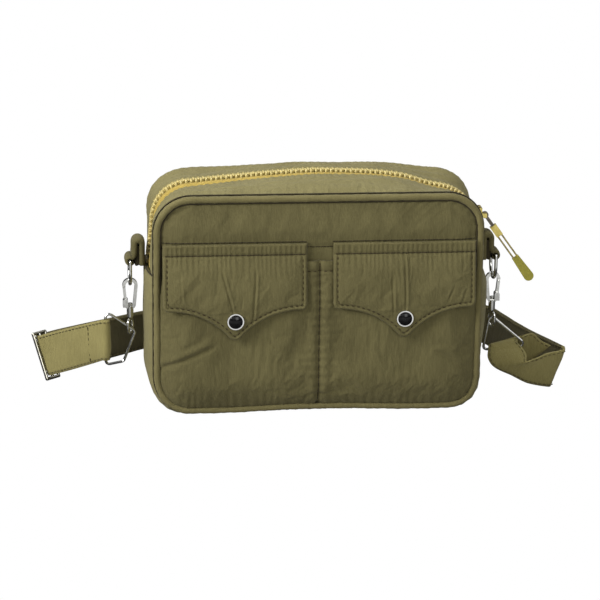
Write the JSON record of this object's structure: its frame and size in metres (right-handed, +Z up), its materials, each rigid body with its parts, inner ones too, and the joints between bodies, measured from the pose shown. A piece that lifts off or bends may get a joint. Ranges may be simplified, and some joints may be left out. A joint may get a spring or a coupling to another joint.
{
  "type": "crossbody purse",
  "caption": "Boxy padded cloth crossbody purse with piped edges, a top zip, front flap pockets with snaps, and a strap clipped to D-rings at the sides.",
  "frame": {"origin": "middle of the base, on the surface that the purse stands on", "axes": "+X to the right of someone who looks at the front, -Y out of the front with the flap pockets, +Z up"},
  "size_m": [0.3861, 0.1702, 0.162],
  "materials": {
    "olive_cloth": "matte crinkled cotton, padded",
    "lining_cloth": "plain woven polyester",
    "wadding": "soft wadding",
    "zip_tape": "woven polyester tape",
    "zip_resin": "moulded, satin",
    "gold_metal": "plated, polished",
    "dark_metal": "dark enamel",
    "mustard_rubber": "moulded, satin",
    "black_gloss": "gloss enamel",
    "nickel": "nickel plate, polished"
  },
  "bodies": {
    "bag": {"front_panel": "olive_cloth", "back_panel": "olive_cloth", "front_wadding": "wadding", "back_wadding": "wadding", "lining": "lining_cloth", "lower_gusset": "olive_cloth", "zip_gusset_left": "olive_cloth", "zip_gusset_right": "olive_cloth", "front_piping": "olive_cloth", "back_piping": "olive_cloth", "pocket_panel": "olive_cloth", "flap_bands": "olive_cloth", "snap_studs": "nickel", "snap_stud_backs": "nickel", "zip_tape_left": "zip_tape", "zip_tape_right": "zip_tape", "zip_teeth_left": "zip_resin", "zip_teeth_right": "zip_resin", "zip_stops": "zip_resin", "left_tab": "olive_cloth", "right_tab": "olive_cloth", "strap_left_end": "olive_cloth", "strap_main": "olive_cloth", "strap_right_end": "olive_cloth"},
    "strap_slider": {"strap_slider": "nickel"},
    "flap_left": {"flap_left": "olive_cloth", "snap_rim_left": "nickel", "snap_cap_left": "black_gloss", "snap_socket_left": "nickel"},
    "flap_right": {"flap_right": "olive_cloth", "snap_rim_right": "nickel", "snap_cap_right": "black_gloss", "snap_socket_right": "nickel"},
    "front_lip": {"front_top_strip": "olive_cloth", "zip_tape_front": "zip_tape", "zip_teeth_front": "zip_resin"},
    "rear_lip": {"rear_top_strip": "olive_cloth", "zip_tape_rear": "zip_tape", "zip_teeth_rear": "zip_resin"},
    "zip_slider": {"zip_slider": "gold_metal"},
    "zip_pull": {"zip_pull_link": "dark_metal", "zip_pull_clasp": "gold_metal", "zip_pull_wires": "gold_metal", "zip_pull_tag": "mustard_rubber"},
    "left_d_ring": {"left_d_ring": "nickel"},
    "left_drop": {"left_swivel_eye": "nickel", "left_triangle_ring": "nickel"},
    "left_hook": {"left_hook": "nickel", "left_gate_pin": "nickel", "left_gate_spring": "nickel"},
    "left_gate": {"left_gate": "nickel"},
    "right_d_ring": {"right_d_ring": "nickel"},
    "right_drop": {"right_swivel_eye": "nickel", "right_triangle_ring": "nickel"},
    "right_hook": {"right_hook": "nickel", "right_gate_pin": "nickel", "right_gate_spring": "nickel"},
    "right_gate": {"right_gate": "nickel"}
  },
  "joints": [
    {"name": "flap_left_lift", "type": "hinge", "parent": "bag", "child": "flap_left", "pos_m": [-0.059, -0.0444, 0.117], "axis": [-1, 0, 0], "range_deg": [0, 130]},
    {"name": "flap_right_lift", "type": "hinge", "parent": "bag", "child": "flap_right", "pos_m": [0.059, -0.0444, 0.117], "axis": [-1, 0, 0], "range_deg": [0, 130]},
    {"name": "front_lip_open", "type": "hinge", "parent": "bag", "child": "front_lip", "pos_m": [0, -0.0353, 0.158], "axis": [1, 0, 0], "range_deg": [0, 60]},
    {"name": "rear_lip_open", "type": "hinge", "parent": "bag", "child": "rear_lip", "pos_m": [0, 0.0353, 0.158], "axis": [-1, 0, 0], "range_deg": [0, 60]},
    {"name": "zip_travel", "type": "hinge", "parent": "bag", "child": "zip_slider", "pos_m": [0.089, 0, 0.132], "axis": [0, -1, 0], "range_deg": [0, 90]},
    {"name": "zip_pull_swing", "type": "hinge", "parent": "zip_slider", "child": "zip_pull", "pos_m": [0.1223, 0, 0.132], "axis": [0, -1, 0], "range_deg": [0, 110]},
    {"name": "strap_slider_rock", "type": "hinge", "parent": "bag", "child": "strap_slider", "pos_m": [-0.189, 0.047, 0.0185], "axis": [0.2784, -0.3315, -0.9014], "range_deg": [0, 15]},
    {"name": "left_drop_swing", "type": "hinge", "parent": "bag", "child": "left_drop", "pos_m": [-0.1296, 0, 0.104], "axis": [0, 1, 0], "range_deg": [-2, 15], "deforming": ["strap_left_end"]},
    {"name": "left_d_ring_swing", "type": "hinge", "parent": "bag", "child": "left_d_ring", "pos_m": [-0.1296, 0, 0.104], "axis": [0, 1, 0], "range_deg": [-2, 15]},
    {"name": "left_hook_swivel", "type": "hinge", "parent": "left_drop", "child": "left_hook", "pos_m": [-0.1296, 0, 0.065], "axis": [0, 0, 1], "range_deg": [-20, 20]},
    {"name": "left_gate_open", "type": "hinge", "parent": "left_hook", "child": "left_gate", "pos_m": [-0.13284, 0, 0.0733], "axis": [0, 1, 0], "range_deg": [0, 25], "stiffness_Nm_per_rad": 0.002, "springref_deg": -11.46},
    {"name": "right_drop_swing", "type": "hinge", "parent": "bag", "child": "right_drop", "pos_m": [0.1296, 0, 0.104], "axis": [0, -1, 0], "range_deg": [-2, 15], "deforming": ["strap_right_end"]},
    {"name": "right_d_ring_swing", "type": "hinge", "parent": "bag", "child": "right_d_ring", "pos_m": [0.1296, 0, 0.104], "axis": [0, -1, 0], "range_deg": [-2, 15]},
    {"name": "right_hook_swivel", "type": "hinge", "parent": "right_drop", "child": "right_hook", "pos_m": [0.1296, 0, 0.065], "axis": [0, 0, 1], "range_deg": [-20, 20]},
    {"name": "right_gate_open", "type": "hinge", "parent": "right_hook", "child": "right_gate", "pos_m": [0.13284, 0, 0.0733], "axis": [0, -1, 0], "range_deg": [0, 25], "stiffness_Nm_per_rad": 0.002, "springref_deg": -11.46}
  ],
  "couplings": [
    {"joint": "left_d_ring_swing", "follows": "left_drop_swing", "ratio": 1},
    {"joint": "right_d_ring_swing", "follows": "right_drop_swing", "ratio": 1}
  ]
}
